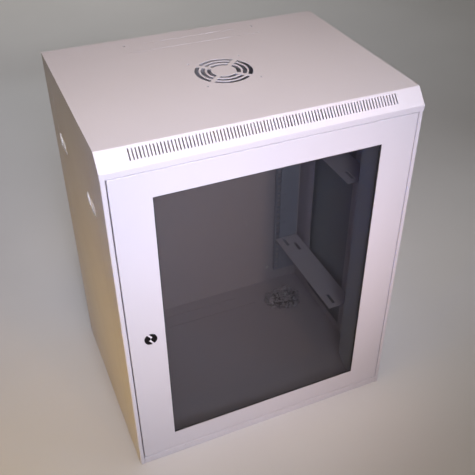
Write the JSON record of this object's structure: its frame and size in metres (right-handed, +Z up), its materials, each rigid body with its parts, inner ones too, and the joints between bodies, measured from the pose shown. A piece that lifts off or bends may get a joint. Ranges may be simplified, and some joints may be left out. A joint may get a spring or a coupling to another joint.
{
  "type": "wall mount network cabinet",
  "caption": "Wall mounted equipment cabinet with a glazed hinged lockable door, 19-inch rails on depth bars, a vented top with a fan grille and removable side panels.",
  "frame": {"origin": "centre of the cabinet's footprint at the floor panel's underside, halfway between the lock face and the wall face", "axes": "+Y from the door to the wall, +X to the hinge side, +Z up"},
  "size_m": [0.6, 0.4524, 0.77],
  "materials": {
    "shell_paint": "satin light grey powder coat",
    "rail_paint": "satin light grey powder coat",
    "zinc_steel": "bright zinc plate",
    "smoked_glass": "grey tinted toughened glass",
    "black_rubber": "matt foam tape",
    "black_plastic": "black satin",
    "lock_chrome": "polished",
    "grey_plastic": "fine texture",
    "clear_film": "clear thin film"
  },
  "bodies": {
    "cabinet": {"top_cover": "shell_paint", "floor_panel": "shell_paint", "back_panel": "shell_paint", "side_frame_left": "shell_paint", "side_frame_right": "shell_paint", "rail_front_left": "rail_paint", "rail_front_right": "rail_paint", "rail_rear_left": "rail_paint", "rail_rear_right": "rail_paint", "depth_bar_lower_left": "rail_paint", "depth_bar_lower_right": "rail_paint", "depth_bar_upper_left": "rail_paint", "depth_bar_upper_right": "rail_paint", "rail_bolts": "zinc_steel", "rail_nuts": "zinc_steel", "bar_bolts": "zinc_steel", "bar_nuts": "zinc_steel", "hinge_pins": "zinc_steel", "fixings_bag": "clear_film"},
    "door": {"door_frame": "shell_paint", "door_glass": "smoked_glass", "glazing_tape": "black_rubber", "glass_clips": "zinc_steel", "glass_clip_nuts": "zinc_steel", "door_hinge_bushes": "zinc_steel", "lock_body": "black_plastic", "lock_nut": "zinc_steel"},
    "lock_barrel": {"lock_plug": "lock_chrome", "lock_cam": "zinc_steel", "lock_cam_screw": "zinc_steel"},
    "panel_left": {"side_panel_left": "shell_paint", "latch_cups_left": "grey_plastic"},
    "panel_right": {"side_panel_right": "shell_paint", "latch_cups_right": "grey_plastic"},
    "latch_left_front": {"latch_slide_left_front": "grey_plastic"},
    "latch_left_rear": {"latch_slide_left_rear": "grey_plastic"},
    "latch_right_front": {"latch_slide_right_front": "grey_plastic"},
    "latch_right_rear": {"latch_slide_right_rear": "grey_plastic"}
  },
  "joints": [
    {"name": "door_hinge", "type": "hinge", "parent": "cabinet", "child": "door", "pos_m": [0.2824, -0.2198, 0.375], "axis": [0, 0, 1], "range_deg": [0, 120]},
    {"name": "lock_turn", "type": "hinge", "parent": "door", "child": "lock_barrel", "pos_m": [-0.248, -0.2138, 0.367], "axis": [0, 1, 0], "range_deg": [0, 90]},
    {"name": "side_panel_left_remove", "type": "slide", "parent": "cabinet", "child": "panel_left", "axis": [-1, 0, 0], "range_m": [0, 0.06]},
    {"name": "side_panel_right_remove", "type": "slide", "parent": "cabinet", "child": "panel_right", "axis": [1, 0, 0], "range_m": [0, 0.06]},
    {"name": "latch_left_front_slide", "type": "slide", "parent": "panel_left", "child": "latch_left_front", "axis": [0, -1, 0], "range_m": [0, 0.008]},
    {"name": "latch_left_rear_slide", "type": "slide", "parent": "panel_left", "child": "latch_left_rear", "axis": [0, 1, 0], "range_m": [0, 0.008]},
    {"name": "latch_right_front_slide", "type": "slide", "parent": "panel_right", "child": "latch_right_front", "axis": [0, -1, 0], "range_m": [0, 0.008]},
    {"name": "latch_right_rear_slide", "type": "slide", "parent": "panel_right", "child": "latch_right_rear", "axis": [0, 1, 0], "range_m": [0, 0.008]}
  ]
}
